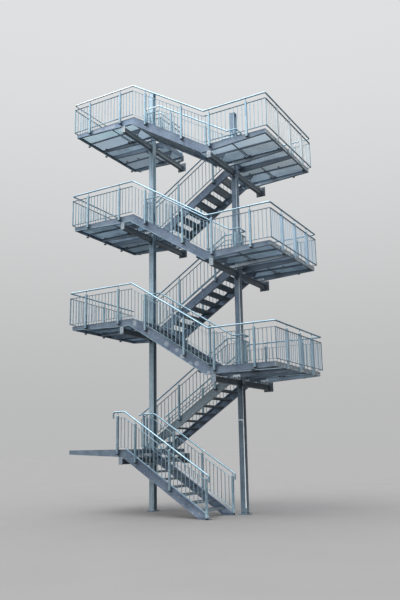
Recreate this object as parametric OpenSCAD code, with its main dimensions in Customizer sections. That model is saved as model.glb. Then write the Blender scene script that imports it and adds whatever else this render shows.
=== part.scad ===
// Dog-leg escape stair in galvanised steel, four door landings on the left,
// three half landings on the right, seven straight flights between them.
// Origin: centre of the right column's base plate, on its underside.
// +X runs along the wall to the right, +Y into the wall, +Z up.

/* [Levels] */
// Height of one riser in the upper flights
riser = 180; // [177:0.5:182]
// Level of the lowest door landing above the foot of the stair
level_0 = 1610; // [1580:10:1640]
// Level of the first-floor door landing
level_1 = 4950; // [4930:10:4970]

/* [Flights] */
// Horizontal step from nosing to nosing in the upper flights
going = 283; // [280:1:286]
// Going of the lowest flight
going_0 = 275; // [272:1:277]
// Going of the flight that lands on the lowest door landing
going_1 = 282; // [280:1:284]
// Depth of the stringer channel, square to its slope
stringer_depth = 216; // [212:1:220]
// Thickness of one grating tread
tread_t = 30; // [25:1:30]

/* [Landings] */
// Left end of the door landings
end_left = -4434; // [-4460:2:-4400]
// Right end of the half landings
end_right = 1612; // [1580:2:1640]
// Edge of the half landings, at the head of the inner flights
edge_right = -431; // [-440:1:-425]
// Depth of the edge channels at their free end
edge_depth_end = 108; // [100:1:120]
// Depth of the edge channels over the beams
edge_depth_beam = 185; // [180:1:190]
// Thickness of the landing gratings
grating_t = 30; // [25:1:30]

/* [Columns] */
// Distance of the left column from the right one
column_pitch = 2737; // [2720:1:2750]
// Width of the column over its flanges
column_w = 152; // [146:1:158]
// Width of one column flange
column_d = 150; // [140:2:156]
// Height of a column above its top landing
column_over = 1510; // [1400:10:1600]

/* [Railings] */
// Height of the handrail's centre above the walking line
hand_h = 935; // [920:5:950]
// Diameter of the handrail
hand_d = 42; // [38:1:44]
// Height of the infill's top bar
top_h = 785; // [775:5:795]
// Height of the infill's bottom bar
bottom_h = 55; // [50:1:60]
// Largest distance between the centres of two balusters
baluster_pitch = 120; // [112:1:126]
// Width of one baluster
baluster_w = 14; // [12:1:16]
// Width of one square post
post_w = 50; // [45:1:55]

/* [Hidden] */

// levels of the door landings 0 to 3 and of the half landings 0 to 3
zl = [level_0, level_1, level_1 + 16 * riser, level_1 + 32 * riser];
zm = [0, level_1 - 8 * riser, level_1 + 8 * riser, level_1 + 24 * riser];

// the stringers' top line runs this far in front of the nosing line
nose = 40;
edge_left = edge_right - 7 * going;
// the rear half of the top landing meets no flight and ends nearer the column
edge_top = edge_left - 113;

// kinks of the stringer and rail lines: outer flights fall to the right,
// inner flights fall to the left
kt_o = edge_left + nose;
kb_o = kt_o + 8 * going;
kt_i = edge_right - nose;
kb_i = kt_i - 8 * going;
kt_o0 = kb_o - 9 * going_0;
kb_i0 = kt_i - 10 * going_1;
riser_0 = level_0 / 9;
riser_1 = (zm[1] - level_0) / 10;

// steel faces across the stair
front = -1448;
well_f = -230;
well_b = 250;
back = 1448;
wall = 1688;
rail_off = 51;
web = 8;

beam_w = 100;
beam_h = 140;
// the beams lie this far below the edge channels, on upright cleats
beam_gap = 42;
// top and bottom flats of the railing infill, lying level
flat_w = 40;
flat_t = 8;
xcl = -column_pitch;
foot_h = 20;

steel = [0.55, 0.60, 0.65];
steel_light = [0.66, 0.71, 0.75];
steel_dark = [0.40, 0.44, 0.48];

module bar(x0, x1, y0, y1, z0, z1)
  translate([min(x0, x1), min(y0, y1), min(z0, z1)])
    cube([abs(x1 - x0), abs(y1 - y0), abs(z1 - z0)]);

// outline in the XZ plane, extruded from y0 to y1
module slab_xz(pts, y0, y1)
  translate([0, max(y0, y1), 0]) rotate([90, 0, 0])
    linear_extrude(abs(y1 - y0)) polygon(pts);

// outline in the YZ plane, extruded from x0 to x1
module slab_yz(pts, x0, x1)
  translate([min(x0, x1), 0, 0]) rotate([90, 0, 90])
    linear_extrude(abs(x1 - x0)) polygon(pts);

// round bar between two points of one XZ plane
module rod_xz(a, b, y, d) {
  l = norm(b - a);
  t = atan2(b[0] - a[0], b[1] - a[1]);
  translate([a[0], y, a[1]]) rotate([0, t, 0]) cylinder(h = l, d = d, $fn = 24);
}

// ---------------------------------------------------------------- columns

// H section, its flanges facing the front and the wall
module h_column(x, top) {
  hw = column_w / 2;
  hd = column_d / 2;
  translate([x, 0, 0]) {
    bar(-hd, hd, -hw, -hw + 9, foot_h, top);
    bar(-hd, hd, hw - 9, hw, foot_h, top);
    bar(-3, 3, -hw + 8, hw - 8, foot_h, top);
    bar(-hd - 4, hd + 4, -hw - 4, hw + 4, top - 8, top);
  }
}

module column_right() color(steel) h_column(0, zm[3] + column_over);
module column_left() color(steel) h_column(xcl, zl[3] + column_over);
module column_base_plates() color(steel) for (x = [0, xcl]) difference() {
  bar(x - 120, x + 120, -120, 120, 0, foot_h);
  for (sx = [-1, 1], sy = [-1, 1])
    translate([x + 90 * sx, 90 * sy, -1]) cylinder(h = foot_h + 2, r = 9, $fn = 32);
}

// ---------------------------------------------------------------- beams

// one I section along Y with its top at z
module i_beam(x, y0, y1, z) {
  bar(x - beam_w / 2, x + beam_w / 2, y0, y1, z - 9, z);
  bar(x - beam_w / 2, x + beam_w / 2, y0, y1, z - beam_h, z - beam_h + 9);
  bar(x - 3, x + 3, y0, y1, z - beam_h, z);
}

module beam_pair(x, level) {
  z = level - edge_depth_beam;
  zt = z - beam_gap;
  zb = zt - beam_h;
  hw = column_w / 2;
  // front half with its end cap and its gusset to the column
  union() {
    i_beam(x, front + 7, -hw, zt);
    bar(x - 56, x + 56, front, front + 8, zb - 4, z);
    slab_yz([[-hw - 1, zb + 2], [-hw - 1, zb - 90], [-hw - 16, zb - 90], [-185, zb - 12], [-185, zb + 2]], x - 4, x + 4);
  }
  // rear half with its gusset and the plate on the wall
  union() {
    i_beam(x, hw, wall - 14, zt);
    slab_yz([[hw + 1, zb + 2], [hw + 1, zb - 90], [hw + 16, zb - 90], [185, zb - 12], [185, zb + 2]], x - 4, x + 4);
    difference() {
      bar(x - 140, x + 140, wall - 15, wall, z - 225, z + 55);
      for (sx = [-1, 1], sz = [-1, 1])
        translate([x + 105 * sx, wall - 20, z - 85 + 105 * sz])
          rotate([-90, 0, 0]) cylinder(h = 30, r = 9, $fn = 32);
    }
  }
}

module beams_right() color(steel_dark) for (i = [1:3]) beam_pair(0, zm[i]);
module beams_left() color(steel_dark) for (i = [0:3]) beam_pair(xcl, zl[i]);

// ---------------------------------------------------------------- landings

// edge channel along X: its web from free end xe to kink xk over beam xb.
// drop is the depth at the kink, where a stringer falls away from it.
// side +1 turns the flanges towards +Y.
module edge_channel(xe, xb, xk, y, z, drop, slope, side, thick = web) {
  s = xk > xe ? 1 : -1;
  d0 = edge_depth_end;
  d1 = edge_depth_beam;
  back_off = drop > d1 ? (drop - d1) / slope : 0;
  y1 = y + side * thick;
  y2 = y + side * 62;
  low = drop > d1 ? [[xe, z - d0], [xb, z - d1], [xk - s * back_off, z - d1], [xk, z - drop]]
                  : [[xe, z - d0], [xb, z - d1], [xk, z - d1]];
  n = len(low);
  slab_xz(concat([[xk, z], [xe, z]], low), y, y1);
  slab_xz(concat(low, [for (k = [n - 1:-1:0]) low[k] + [0, 10]]), y, y2);
  // shelf under the grating
  bar(xe, xk, y + side * 2, y + side * 40, z - grating_t - 6, z - grating_t);
}

// flat bearer along X under the middle of a grating, with a tapered foot
// on the beam at xb
module bearer(x0, x1, y, z, xb) {
  zf = z - edge_depth_beam - beam_gap;
  bar(x0, x1, y - 4, y + 4, z - grating_t - 50, z - grating_t);
  slab_xz([[xb - 170, z - grating_t - 48], [xb - 60, zf + 8], [xb + 60, zf + 8], [xb + 170, z - grating_t - 48]], y - 5, y + 5);
  bar(xb - 60, xb + 60, y - 40, y + 40, zf, zf + 10);
}

// end is the free end, eo/ei the landing's edge in the outer and inner half,
// ko/ki the kinks there, dk_o/dk_i the depth at these kinks
module landing_frame(z, end, xb, eo, ei, ko, ki, dk_o, dk_i, so, si, shift = 0) {
  s = ko > end ? 1 : -1;
  wb = well_b - shift;
  bk = back + shift;
  edge_channel(end, xb, ko, front, z, dk_o, so, 1);
  edge_channel(end, xb, ko, well_f, z, dk_o, so, -1);
  edge_channel(end, xb, ki, wb, z, dk_i, si, 1);
  edge_channel(end, xb, ki, bk, z, dk_i, si, -1);
  // free end across the landing
  bar(end, end + s * 8, front, bk, z - edge_depth_end, z);
  bar(end + s * 2, end + s * 50, front + 2, bk - 2, z - edge_depth_end + 1, z - edge_depth_end + 8);
  bar(end + s * 2, end + s * 36, front + 2, bk - 2, z - grating_t - 5, z - grating_t - 1);
  // bearers
  bearer(end + s * 4, eo - s * 4, -845, z, xb);
  bearer(end + s * 4, ei - s * 4, 850, z, xb);
  // edges towards the flights and beside the column
  bar(eo - s * 8, eo, front + 4, well_f - 4, z - 110, z);
  bar(ei - s * 8, ei, well_b + web + 3, back - web - 3, z - 110, z);
  xw = xb - s * 118;
  bar(xw, xw + s * 8, well_f - 4, wb + 4, z - 110, z);
  // upright cleats that carry the channels on the beam
  zc = z - edge_depth_beam;
  for (c = [[well_f - 18, ko], [wb + 6, ki], [bk - 18, ki]])
    bar(xb - 102, s > 0 ? min(xb + 102, c[1]) : xb + 102, c[0], c[0] + 12, zc - beam_gap, zc + 86);
}

// brackets of the short grating between the frame and the door sill
module sill_brackets(z) for (x = [-4330, -3750, -3170])
  slab_yz([[back - 2, z - grating_t], [back - 2, z - 100], [back + 60, z - 100], [1674, z - 60], [1674, z - grating_t]], x - 4, x + 4);

st = riser / going;
so0 = riser_0 / going_0;
si1 = riser_1 / going_1;
function vdepth(slope) = stringer_depth * sqrt(1 + slope * slope);

module door_frame(i) {
  if (i == 3)
    landing_frame(zl[3], end_left, xcl, edge_left, edge_top, kt_o, edge_top + 2, vdepth(st), edge_depth_beam, st, st);
  if (i == 1 || i == 2)
    landing_frame(zl[i], end_left, xcl, edge_left, edge_left, kt_o, kb_i, vdepth(st), edge_depth_beam, st, st);
  if (i == 0)
    landing_frame(zl[0], end_left, xcl, kt_o0 - nose, kb_i0 + nose + going_1, kt_o0, xcl + 90,
                  vdepth(so0), edge_depth_beam, so0, st, 10);
  if (i > 0) sill_brackets(zl[i]);
}

module half_frame(i)
  landing_frame(zm[i], end_right, 0, edge_right, edge_right, kb_o, kt_i, edge_depth_beam,
                vdepth(i == 1 ? si1 : st), st, i == 1 ? si1 : st);

module door_landing_3_frame() color(steel) door_frame(3);
module door_landing_2_frame() color(steel) door_frame(2);
module door_landing_1_frame() color(steel) door_frame(1);
module door_landing_0_frame() color(steel) door_frame(0);
module half_landing_3_frame() color(steel) half_frame(3);
module half_landing_2_frame() color(steel) half_frame(2);
module half_landing_1_frame() color(steel) half_frame(1);

// grating panels of one landing: outer half, inner half and the strip between
module panels(z, end, xb, eo, ei, seam) {
  s = eo > end ? 1 : -1;
  e = end + s * 10;
  z0 = z - grating_t;
  bar(e, seam - 3 * s, front + 10, well_f - 10, z0, z);
  bar(seam + 3 * s, eo - s * 10, front + 10, well_f - 10, z0, z);
  bar(e, seam - 3 * s, well_b + 12, back - 12, z0, z);
  bar(seam + 3 * s, ei - s * 10, well_b + 12, back - 12, z0, z);
  bar(e, xb - s * 120, well_f + 2, well_b - 14, z0, z);
}

module door_landing_gratings() color(steel_light) {
  for (i = [1:3]) {
    panels(zl[i], end_left, xcl, edge_left, i == 3 ? edge_top : edge_left, -3320);
    bar(-4350, -3150, back + 4, 1676, zl[i] - grating_t, zl[i]);
  }
  panels(zl[0], end_left, xcl, kt_o0 - nose, kb_i0 + nose + going_1, -3320);
}

module half_landing_gratings() color(steel_light)
  for (i = [1:3]) panels(zm[i], end_right, 0, edge_right, edge_right, 555);

// ---------------------------------------------------------------- flights

// one stringer channel from its top kink xt to its bottom kink xf.
// foot is its depth at the bottom kink; side turns the flanges inwards.
module stringer(xt, zt, xf, zf, y, side, foot) {
  s = xf > xt ? 1 : -1;
  m = (zt - zf) / abs(xf - xt);
  v = vdepth(m);
  f = 12;
  cut = (v - foot) / m;
  y1 = y + side * web;
  y2 = y + side * 62;
  slab_xz([[xt, zt], [xf, zf], [xf, zf - foot], [xf - s * cut, zf - foot], [xt, zt - v]], y, y1);
  slab_xz([[xt, zt], [xf, zf], [xf, zf - f], [xt, zt - f]], y, y2);
  slab_xz([[xt, zt - v], [xf - s * cut, zf - foot], [xf, zf - foot], [xf, zf - foot + 10],
           [xf - s * cut, zf - foot + f], [xt, zt - v + f]], y, y2);
}

module outer_stringers(i) {
  stringer(kt_o, zl[i], kb_o, zm[i], front, 1, edge_depth_beam);
  stringer(kt_o, zl[i], kb_o, zm[i], well_f, -1, edge_depth_beam);
}

module inner_stringers(i) {
  xf = i == 1 ? kb_i0 : kb_i;
  ft = i == 1 ? edge_depth_beam - 15 : edge_depth_beam;
  stringer(kt_i, zm[i], xf, zl[i - 1], well_b, 1, ft);
  stringer(kt_i, zm[i], xf, zl[i - 1], back, -1, ft);
}

// the lowest stringers end on the ground in a small plate
module ground_stringer(y, side) {
  m = riser_0 / going_0;
  v = vdepth(m);
  y1 = y + side * web;
  y2 = y + side * 62;
  tip = -215;
  ztip = (kb_o - tip) * m;
  xg = kb_o - v / m;
  slab_xz([[kt_o0, level_0], [tip, ztip], [tip, 8], [xg + 8 / m, 8], [kt_o0, level_0 - v]], y, y1);
  slab_xz([[kt_o0, level_0], [tip, ztip], [tip, ztip - 12], [kt_o0, level_0 - 12]], y, y2);
  slab_xz([[kt_o0, level_0 - v], [xg + 8 / m, 8], [xg + 20 / m + 30, 8], [xg + 20 / m, 20], [kt_o0, level_0 - v + 12]], y, y2);
  bar(xg - 20, tip + 40, y - side * 20, y2 + side * 20, 0, 10);
}

module outer_flight_3_stringers() color(steel) outer_stringers(3);
module outer_flight_2_stringers() color(steel) outer_stringers(2);
module outer_flight_1_stringers() color(steel) outer_stringers(1);
module inner_flight_3_stringers() color(steel) inner_stringers(3);
module inner_flight_2_stringers() color(steel) inner_stringers(2);
module inner_flight_1_stringers() color(steel) inner_stringers(1);
module outer_flight_0_stringers() color(steel) { ground_stringer(front, 1); ground_stringer(well_f, -1); }

// treads: grating slab, nosing angle and a bolted plate at each end
module treads(n, x0, z0, s, g, r, ya, yb) {
  d = g + 4;
  for (i = [1:n]) {
    xn = x0 + s * i * g;
    z = z0 - i * r;
    bar(xn, xn - s * d, ya + 6, yb - 6, z - tread_t, z);
    bar(xn, xn - s * 6, ya + 6, yb - 6, z - tread_t - 10, z);
    for (y = [ya + 2, yb - 7])
      slab_xz([[xn - s * 2, z - 2], [xn - s * 2, z - 45], [xn - s * 60, z - 70], [xn - s * (d - 70), z - 70],
               [xn - s * (d - 4), z - tread_t], [xn - s * (d - 4), z - 2]], y, y + 5);
  }
}

module outer_treads(i) treads(7, edge_left, zl[i], 1, going, riser, front + web, well_f - web);
module inner_treads(i) if (i == 1)
  treads(9, edge_right, zm[1], -1, going_1, riser_1, well_b + web, back - web);
else
  treads(7, edge_right, zm[i], -1, going, riser, well_b + web, back - web);

module outer_flight_3_treads() color(steel_dark) outer_treads(3);
module outer_flight_2_treads() color(steel_dark) outer_treads(2);
module outer_flight_1_treads() color(steel_dark) outer_treads(1);
module inner_flight_3_treads() color(steel_dark) inner_treads(3);
module inner_flight_2_treads() color(steel_dark) inner_treads(2);
module inner_flight_1_treads() color(steel_dark) inner_treads(1);
module outer_flight_0_treads() color(steel_dark)
  treads(8, kt_o0 - nose, level_0, 1, going_0, riser_0, front + web, well_f - web);

// ---------------------------------------------------------------- railings

// line is a table [[u, z], ...] of the walking line; lookup reads it
function kinks(line, a, b) = concat([a], [for (p = line) if (p[0] > a && p[0] < b) p[0]], [b]);

// band of height h round offset o along the line, from a to b
module band(line, a, b, o, h) {
  us = kinks(line, a, b);
  n = len(us);
  polygon(concat([for (u = us) [u, lookup(u, line) + o + h / 2]],
                 [for (k = [n - 1:-1:0]) [us[k], lookup(us[k], line) + o - h / 2]]));
}

// infill between a and b: two flats lying level and their balusters
module infill(line, a, b, posts) {
  stops = concat([a], posts, [b]);
  translate([0, flat_w / 2, 0]) rotate([90, 0, 0]) linear_extrude(flat_w) {
    band(line, a, b, top_h, flat_t);
    band(line, a, b, bottom_h, flat_t);
  }
  translate([0, baluster_w / 2, 0]) rotate([90, 0, 0]) linear_extrude(baluster_w) {
    for (k = [0:len(stops) - 2]) {
      g = stops[k + 1] - stops[k];
      n = max(1, ceil(g / baluster_pitch));
      for (j = [1:1:n - 1]) {
        u = stops[k] + g * j / n;
        z = lookup(u, line);
        translate([u - baluster_w / 2, z + bottom_h]) square([baluster_w, top_h - bottom_h]);
      }
    }
    for (u = [a, b]) {
      z = lookup(u, line);
      translate([u == a ? a : b - baluster_w, z + bottom_h]) square([baluster_w, top_h - bottom_h]);
    }
  }
}

module post(u, line, low = -120, high = 835) {
  z = lookup(u, line);
  bar(u - post_w / 2, u + post_w / 2, -post_w / 2, post_w / 2, max(z + low, 12), z + high);
  translate([u, 0, z + high - 5]) cylinder(h = hand_h - high + 5, d = 14, $fn = 16);
}

// short fixing block between a post and the steel behind it
module lug(u, line, side, low = -95)
  bar(u - 20, u + 20, side * (post_w / 2 - 2), side * rail_off,
      max(lookup(u, line) + low, 14), max(lookup(u, line) + low, 14) + 60);

// handrail: straight tubes pushed a little way into bends that are 1 mm fuller
bend_d = hand_d + 2;
bend_r = 50;
push = 6;
function heading(a, b) = atan2(b[1] - a[1], b[0] - a[0]);
function turn_at(p, k) = heading(p[k], p[k + 1]) - heading(p[k - 1], p[k]);
function radius_at(p, k) = abs(turn_at(p, k)) > 45 ? bend_r : 90;
function trim_at(p, k) = radius_at(p, k) * tan(abs(turn_at(p, k)) / 2);

module bend(r, from, angle) rotate([0, 0, from]) rotate_extrude(angle = angle, $fn = 48)
  translate([r, 0]) circle(d = bend_d, $fn = 24);

// bend in the XZ plane at corner k of the path p
module bend_xz(p, k) {
  a1 = heading(p[k - 1], p[k]);
  a2 = heading(p[k], p[k + 1]);
  r = radius_at(p, k);
  s = sign(a2 - a1);
  c = p[k] - trim_at(p, k) * [cos(a1), sin(a1)] + s * r * [-sin(a1), cos(a1)];
  translate([c[0], 0, c[1]]) rotate([90, 0, 0]) bend(r, s > 0 ? a1 - 90 : a2 + 90, abs(a2 - a1));
}

// level quarter bend at the corner [x, y]; sx and sy point along its two arms
module corner(x, y, z, sx, sy)
  translate([x + sx * bend_r, y + sy * bend_r, z + hand_h])
    bend(bend_r, sy > 0 ? (sx > 0 ? 180 : 270) : (sx > 0 ? 90 : 0), 90);

module pipe_xz(p) {
  n = len(p);
  for (k = [0:n - 2]) {
    d = (p[k + 1] - p[k]) / norm(p[k + 1] - p[k]);
    a = p[k] + d * (k > 0 ? trim_at(p, k) - push : 0);
    b = p[k + 1] - d * (k < n - 2 ? trim_at(p, k + 1) - push : 0);
    rod_xz(a, b, 0, hand_d);
  }
  if (n > 2) for (k = [1:n - 2]) bend_xz(p, k);
}

module handrail(line, a, b, before = [], after = [])
  pipe_xz(concat(before, [for (u = kinks(line, a, b)) [u, lookup(u, line) + hand_h]], after));

// whole panel in the local XZ plane; side is where the steel lies
module railing(line, ha, hb, a, b, posts, side) {
  handrail(line, ha, hb);
  infill(line, a, b, posts);
  for (u = posts) { post(u, line); lug(u, line, side); }
}

// outer line of one storey, from the left corner to the right corner
function outer_line(i) = [[end_left - 200, zl[i]], [kt_o, zl[i]], [kb_o, zm[i]], [end_right + 200, zm[i]]];
yo = front - rail_off;
xl = end_left - rail_off;
xr = end_right + rail_off;
module outer_railing(i) {
  translate([0, yo, 0])
    railing(outer_line(i), xl + bend_r - push, xr - bend_r + push, xl - 7, xr + 7,
            [-3919, -2822, -1955, -795, 51, 1122], 1);
  corner(xl, yo, zl[i], 1, 1);
  corner(xr, yo, zm[i], -1, 1);
}

module outer_railing_3() color(steel_light) outer_railing(3);
module outer_railing_2() color(steel_light) outer_railing(2);
module outer_railing_1() color(steel_light) outer_railing(1);

// lowest flight: both rails start with a turned-down end
line_0 = [[-3400, level_0], [kt_o0, level_0], [kb_o, 0], [400, 0]];
ends_0 = [-2937, -160];
module railing_0(y, posts, side) translate([0, y, 0]) {
  za = level_0 + hand_h;
  zb = lookup(ends_0[1], line_0) + hand_h;
  handrail(line_0, ends_0[0], ends_0[1], [[ends_0[0], za - 160]], [[ends_0[1], zb - 140]]);
  infill(line_0, -2830, -200, posts);
  for (u = posts) { post(u, line_0); lug(u, line_0, side); }
}

// end railings along Y at the free ends
function flat_line(z) = [[-5000, z], [5000, z]];
// b and c are the far ends of the handrail and of the infill
module end_railing(x, z, b, c, posts, side) translate([x, 0, 0]) rotate([0, 0, 90])
  railing(flat_line(z), yo + bend_r + 2, b, yo + 22, c, posts, side);

module left_end_railing_3() color(steel_light) end_railing(xl, zl[3], 1470, 1462, [-820, 0, 1350], -1);
module left_end_railing_2() color(steel_light) end_railing(xl, zl[2], 1470, 1462, [-820, 0, 820], -1);
module left_end_railing_1() color(steel_light) end_railing(xl, zl[1], 1470, 1462, [-820, 0, 820], -1);
module right_end_railing_3() color(steel_light) end_railing(xr, zm[3], -yo - bend_r - 2, -yo - 22, [-820, 0, 820], 1);
module right_end_railing_2() color(steel_light) end_railing(xr, zm[2], -yo - bend_r - 2, -yo - 22, [-820, 0, 820], 1);
module right_end_railing_1() color(steel_light) end_railing(xr, zm[1], -yo - bend_r - 2, -yo - 22, [-820, 0, 820], 1);

// wall side: half landing and the inner flight below it
function inner_line(i) = i == 1
  ? [[kb_i0 - 400, zl[0]], [kb_i0, zl[0]], [kt_i, zm[1]], [end_right + 200, zm[1]]]
  : [[kb_i - 400, zl[i - 1]], [kb_i, zl[i - 1]], [kt_i, zm[i]], [end_right + 200, zm[i]]];
module wall_railing(i) {
  translate([0, -yo, 0])
    railing(inner_line(i), i == 1 ? kb_i0 - 60 : kb_i - 120, xr - bend_r + push, i == 1 ? kb_i0 + 20 : kb_i - 90, xr + 7,
            i == 1 ? [-3180, -2010, -880, 40, 1135] : [-2790, -1955, -795, 40, 1135], -1);
  corner(xr, -yo, zm[i], -1, -1);
}

module wall_railing_3() color(steel_light) wall_railing(3);
module wall_railing_2() color(steel_light) wall_railing(2);
module wall_railing_1() color(steel_light) wall_railing(1);

// stair well: the rail beside the outer flight turns round the column and
// comes back beside the inner flight
ywf = well_f + rail_off;
ywb = well_b - rail_off;
u_r = 162;
u_l = -2940;
// cross piece of the well rails at x; xi is its infill's place. Its handrail
// runs from a to b between the bends.
module well_turn(x, xi, z, a, b) {
  translate([x, a, z + hand_h]) rotate([-90, 0, 0]) cylinder(h = b - a, d = hand_d, $fn = 24);
  ya = a > ywf + bend_r ? ywf + 22 : ywf + 2;
  for (h = [bottom_h, top_h]) bar(xi - flat_w / 2, xi + flat_w / 2, ya, ywb - 2, z + h - flat_t / 2, z + h + flat_t / 2);
  for (k = [1:3]) {
    y = ywf + (ywb - ywf) * k / 4;
    bar(xi - 7, xi + 7, y - 7, y + 7, z + bottom_h, z + top_h);
  }
}

module well_outer(i) {
  translate([0, ywf, 0])
    railing(outer_line(i), u_l + bend_r - push, u_r - bend_r + push, u_l, u_r, [-2822, -1955, -795, 51], -1);
  corner(u_l, ywf, zl[i], 1, 1);
  corner(u_r, ywf, zm[i], -1, 1);
}

module well_inner(i) {
  translate([0, ywb, 0])
    railing(inner_line(i), i == 1 ? kb_i0 - 60 : u_l + bend_r - push, u_r - bend_r + push, i == 1 ? kb_i0 + 20 : u_l, u_r,
            i == 1 ? [-3180, -2010, -880, 51] : [-2822, -1955, -795, 51], 1);
  corner(u_r, ywb, zm[i], -1, -1);
  if (i > 1) corner(u_l, ywb, zl[i - 1], 1, -1);
}

module well_railing(i) {
  well_outer(i);
  well_turn(u_r, u_r - 7, zm[i], ywf + bend_r - push, ywb - bend_r + push);
  well_inner(i);
  if (i > 1) well_turn(u_l, u_l + 7, zl[i - 1], ywf + bend_r + 2, ywb - bend_r + push);
}
module well_railing_3() color(steel_light) well_railing(3);
module well_railing_2() color(steel_light) well_railing(2);
module well_railing_1() color(steel_light) well_railing(1);
module outer_flight_0_railings() color(steel_light) {
  railing_0(yo, [-2800, -2250, -1240, -232], 1);
  railing_0(ywf, [-2810, -1950, -1090, -232], -1);
}

// top door landing: guard round the column and across the end where no
// flight rises
x_close = edge_left - 163;
module closing_railing_3() color(steel_light) {
  line = flat_line(zl[3]);
  well_turn(u_l, u_l + 7, zl[3], ywf + bend_r + 2, ywb - bend_r + push);
  corner(u_l, ywb, zl[3], 1, -1);
  translate([0, ywb, 0]) {
    handrail(line, u_l + bend_r - push, x_close - bend_r + push);
    infill(line, u_l, x_close, [-2822]);
    post(-2822, line);
    lug(-2822, line, 1);
  }
  corner(x_close, ywb, zl[3], -1, 1);
  translate([x_close, 0, 0]) rotate([0, 0, 90]) {
    handrail(line, ywb + bend_r - push, back + 20);
    infill(line, ywb - 3, back + 10, [300, 850, 1380]);
    for (u = [300, 850, 1380]) {
      post(u, line, 0);
      bar(u - 45, u + 45, -45, 45, zl[3], zl[3] + 8);
    }
  }
}

column_right();
column_left();
column_base_plates();
beams_right();
beams_left();
door_landing_3_frame();
door_landing_2_frame();
door_landing_1_frame();
door_landing_0_frame();
half_landing_3_frame();
half_landing_2_frame();
half_landing_1_frame();
door_landing_gratings();
half_landing_gratings();
outer_flight_3_stringers();
inner_flight_3_stringers();
outer_flight_2_stringers();
inner_flight_2_stringers();
outer_flight_1_stringers();
inner_flight_1_stringers();
outer_flight_0_stringers();
outer_flight_3_treads();
inner_flight_3_treads();
outer_flight_2_treads();
inner_flight_2_treads();
outer_flight_1_treads();
inner_flight_1_treads();
outer_flight_0_treads();
outer_railing_3();
outer_railing_2();
outer_railing_1();
left_end_railing_3();
left_end_railing_2();
left_end_railing_1();
right_end_railing_3();
right_end_railing_2();
right_end_railing_1();
wall_railing_3();
wall_railing_2();
wall_railing_1();
well_railing_3();
well_railing_2();
well_railing_1();
outer_flight_0_railings();
closing_railing_3();
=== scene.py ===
import math
import random

import bpy
import numpy as np
from mathutils import Matrix, Vector


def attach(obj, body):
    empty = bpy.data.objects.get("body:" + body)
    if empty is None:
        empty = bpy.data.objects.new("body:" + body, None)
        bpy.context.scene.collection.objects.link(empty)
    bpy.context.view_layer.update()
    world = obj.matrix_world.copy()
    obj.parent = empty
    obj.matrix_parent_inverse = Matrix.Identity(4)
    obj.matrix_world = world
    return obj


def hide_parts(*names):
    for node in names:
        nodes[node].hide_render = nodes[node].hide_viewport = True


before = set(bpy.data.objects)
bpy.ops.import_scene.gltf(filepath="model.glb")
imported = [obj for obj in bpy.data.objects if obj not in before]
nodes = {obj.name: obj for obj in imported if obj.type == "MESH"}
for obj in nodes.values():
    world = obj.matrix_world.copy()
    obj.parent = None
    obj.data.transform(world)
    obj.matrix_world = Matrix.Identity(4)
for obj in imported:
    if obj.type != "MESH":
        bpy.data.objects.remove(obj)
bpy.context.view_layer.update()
rnd = random.Random(7)

# ------------------------------------------------------------------ sizes
RISER = 0.180
GOING, GOING_0, GOING_1 = 0.283, 0.275, 0.282
ZL = [1.610, 4.950, 7.830, 10.710]
ZM = [0.0, 3.510, 6.390, 9.270]
RISER_0 = ZL[0] / 9
RISER_1 = (ZM[1] - ZL[0]) / 10
EDGE_R, EDGE_L, EDGE_T = -0.431, -2.412, -2.525
KT_O, KB_O = -2.372, -0.108
KT_I, KB_I = -0.471, -2.735
KT_O0, KB_I0 = -2.583, -3.291
END_L, END_R = -4.434, 1.612
XCL = -2.737
FRONT, WELL_F, WELL_B, BACK, WALL = -1.448, -0.230, 0.250, 1.448, 1.688
GRATE = 0.030
SEAM_R, SEAM_L = 0.555, -3.320
RAIL_OFF = 0.051
YO = FRONT - RAIL_OFF
XL, XR = END_L - RAIL_OFF, END_R + RAIL_OFF
YWF, YWB = WELL_F + RAIL_OFF, WELL_B - RAIL_OFF
POST_W = 0.050
HAND = 0.935
POST_TOP = 0.835


def line_at(table, u):
    """height of a walking line, a table of (u, z) with rising u"""
    if u <= table[0][0]:
        return table[0][1]
    for (a, za), (b, zb) in zip(table, table[1:]):
        if u <= b:
            return za + (zb - za) * (u - a) / (b - a)
    return table[-1][1]


def outer_line(i):
    return [(END_L - 0.2, ZL[i]), (KT_O, ZL[i]), (KB_O, ZM[i]), (END_R + 0.2, ZM[i])]


def inner_line(i):
    if i == 1:
        return [(KB_I0 - 0.4, ZL[0]), (KB_I0, ZL[0]), (KT_I, ZM[1]), (END_R + 0.2, ZM[1])]
    return [(KB_I - 0.4, ZL[i - 1]), (KB_I, ZL[i - 1]), (KT_I, ZM[i]), (END_R + 0.2, ZM[i])]


LINE_0 = [(-3.4, ZL[0]), (KT_O0, ZL[0]), (KB_O, 0.0), (0.4, 0.0)]


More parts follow.
